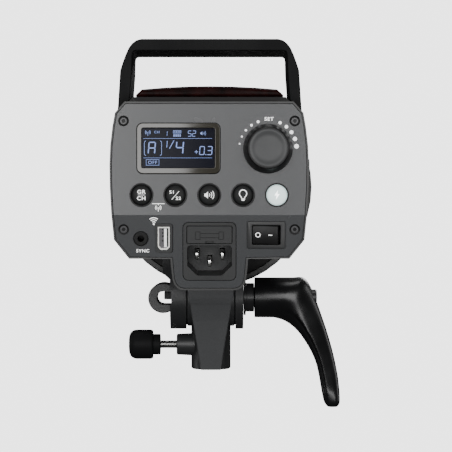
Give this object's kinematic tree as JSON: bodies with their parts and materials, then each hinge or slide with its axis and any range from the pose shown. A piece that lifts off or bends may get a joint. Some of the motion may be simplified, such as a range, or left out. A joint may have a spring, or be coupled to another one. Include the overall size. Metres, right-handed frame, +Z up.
{
  "type": "monolight strobe",
  "caption": "Compact studio flash head with a rear control panel, carrying handle, front accessory ring and a tilting stand bracket with a ratchet lever.",
  "frame": {"origin": "centre of the stand socket's mouth", "axes": "+X to the right of someone facing the control panel, +Y along the flash's aim, +Z up along the socket"},
  "size_m": [0.1429, 0.2294, 0.2158],
  "materials": {
    "panel_paint": "grey paint, fine satin texture",
    "cover_paint": "black paint, fine satin texture",
    "cast_paint": "casting, satin black powder coat",
    "nylon": "glass-filled nylon, satin moulded",
    "black_plastic": "moulded",
    "button_rubber": "soft matt",
    "test_button": "frosted translucent",
    "smoked_plastic": "smoked dark red",
    "bezel_metal": "satin",
    "screen": "liquid crystal panel",
    "nickel": "bright nickel plate",
    "steel": "machined",
    "black_steel": "blackened steel",
    "brass": "turned",
    "reflector": "polished",
    "tube_glass": "clear",
    "lamp_glass": "frosted",
    "ceramic": "glazed ceramic",
    "circuit": "solder mask",
    "capacitor_sleeve": "shrink sleeve",
    "copper": "enamelled wire"
  },
  "bodies": {
    "root": {"stand_adapter": "cast_paint", "friction_disc_left": "steel", "friction_disc_right": "steel"},
    "clamp_pad": {"clamp_pad": "brass"},
    "clamp_knob": {"clamp_screw": "steel", "clamp_knob": "black_plastic"},
    "head": {"yoke": "cast_paint", "upper_housing": "cover_paint", "lower_housing": "cover_paint", "rear_panel": "panel_paint", "panel_screw_left_top": "black_steel", "panel_screw_right_top": "black_steel", "panel_screw_left_low": "black_steel", "panel_screw_right_low": "black_steel", "sensor_window": "smoked_plastic", "photocell": "circuit", "handle": "nylon", "handle_bolt_left_1": "black_steel", "handle_bolt_left_2": "black_steel", "handle_bolt_right_1": "black_steel", "handle_bolt_right_2": "black_steel", "front_ring": "cover_paint", "bayonet_plate": "black_steel", "reflector_plate": "reflector", "flash_tube": "tube_glass", "lamp_socket": "ceramic", "modelling_lamp": "lamp_glass", "fan_frame": "black_plastic", "control_board": "circuit", "power_board": "circuit", "capacitor_left": "capacitor_sleeve", "capacitor_right": "capacitor_sleeve", "trigger_coil": "copper", "display_bezel": "bezel_metal", "display_module": "screen", "encoder_body": "black_plastic", "usb_socket": "nickel", "sync_socket": "black_plastic", "inlet_housing": "black_plastic", "pin_line": "nickel", "pin_neutral": "nickel", "pin_earth": "nickel", "switch_housing": "black_plastic"},
    "lever_core": {"tilt_stud": "black_steel", "lever_cap_screw": "black_steel"},
    "lever_handle": {"lever_handle": "nylon"},
    "umbrella_plunger": {"umbrella_plunger": "black_plastic"},
    "encoder_rotor": {"encoder_rotor": "black_plastic"},
    "dial": {"dial_knob": "black_plastic", "dial_shaft": "steel"},
    "switch_rocker": {"switch_rocker": "black_plastic"},
    "fuse_drawer": {"fuse_drawer": "black_plastic", "fuse": "tube_glass"},
    "mount_release": {"mount_release": "black_plastic"},
    "fan_rotor": {"fan_rotor": "black_plastic"},
    "button_group": {"button_group": "button_rubber"},
    "button_slave": {"button_slave": "button_rubber"},
    "button_beep": {"button_beep": "button_rubber"},
    "button_lamp": {"button_lamp": "button_rubber"},
    "button_test": {"button_test": "test_button"}
  },
  "joints": [
    {"name": "head_tilt", "type": "hinge", "parent": "root", "child": "head", "pos_m": [0, 0, 0.0435], "axis": [1, 0, 0], "range_deg": [-60, 75]},
    {"name": "clamp_pad_slide", "type": "slide", "parent": "root", "child": "clamp_pad", "axis": [1, 0, 0], "range_m": [0, 0.0088]},
    {"name": "clamp_knob_turn", "type": "hinge", "parent": "clamp_pad", "child": "clamp_knob", "pos_m": [-0.04, 0, 0.0148], "axis": [1, 0, 0], "range_deg": [0, 3961]},
    {"name": "lever_turn", "type": "hinge", "parent": "head", "child": "lever_core", "pos_m": [0.02, 0, 0.0435], "axis": [1, 0, 0], "range_deg": [0, 100]},
    {"name": "lever_pull", "type": "slide", "parent": "lever_core", "child": "lever_handle", "axis": [1, 0, 0], "range_m": [0, 0.005], "stiffness_N_per_m": 600},
    {"name": "umbrella_plunger_press", "type": "slide", "parent": "head", "child": "umbrella_plunger", "axis": [1, 0, 0], "range_m": [0, 0.0028], "stiffness_N_per_m": 800},
    {"name": "dial_turn", "type": "hinge", "parent": "head", "child": "encoder_rotor", "pos_m": [0.0321, -0.12, 0.1293], "axis": [0, 1, 0], "continuous": true},
    {"name": "dial_press", "type": "slide", "parent": "encoder_rotor", "child": "dial", "axis": [0, 1, 0], "range_m": [0, 0.0006], "stiffness_N_per_m": 900},
    {"name": "power_switch", "type": "hinge", "parent": "head", "child": "switch_rocker", "pos_m": [0.0312, -0.1175, 0.08249], "axis": [0, -0.1392, 0.9903], "range_deg": [0, 22]},
    {"name": "fuse_drawer_slide", "type": "slide", "parent": "head", "child": "fuse_drawer", "axis": [0, -0.9903, -0.1392], "range_m": [0, 0.014]},
    {"name": "mount_release_slide", "type": "slide", "parent": "head", "child": "mount_release", "axis": [0, -1, 0], "range_m": [0, 0.0045], "stiffness_N_per_m": 400},
    {"name": "fan_spin", "type": "hinge", "parent": "head", "child": "fan_rotor", "pos_m": [0, -0.054, 0.1121], "axis": [0, 1, 0], "continuous": true},
    {"name": "button_group_press", "type": "slide", "parent": "head", "child": "button_group", "axis": [0, 1, 0], "range_m": [0, 0.0008], "stiffness_N_per_m": 600},
    {"name": "button_slave_press", "type": "slide", "parent": "head", "child": "button_slave", "axis": [0, 1, 0], "range_m": [0, 0.0008], "stiffness_N_per_m": 600},
    {"name": "button_beep_press", "type": "slide", "parent": "head", "child": "button_beep", "axis": [0, 1, 0], "range_m": [0, 0.0008], "stiffness_N_per_m": 600},
    {"name": "button_lamp_press", "type": "slide", "parent": "head", "child": "button_lamp", "axis": [0, 1, 0], "range_m": [0, 0.0008], "stiffness_N_per_m": 600},
    {"name": "button_test_press", "type": "slide", "parent": "head", "child": "button_test", "axis": [0, 1, 0], "range_m": [0, 0.0008], "stiffness_N_per_m": 600}
  ],
  "couplings": [
    {"joint": "clamp_knob_turn", "follows": "clamp_pad_slide", "rad_per_m": 7854}
  ]
}
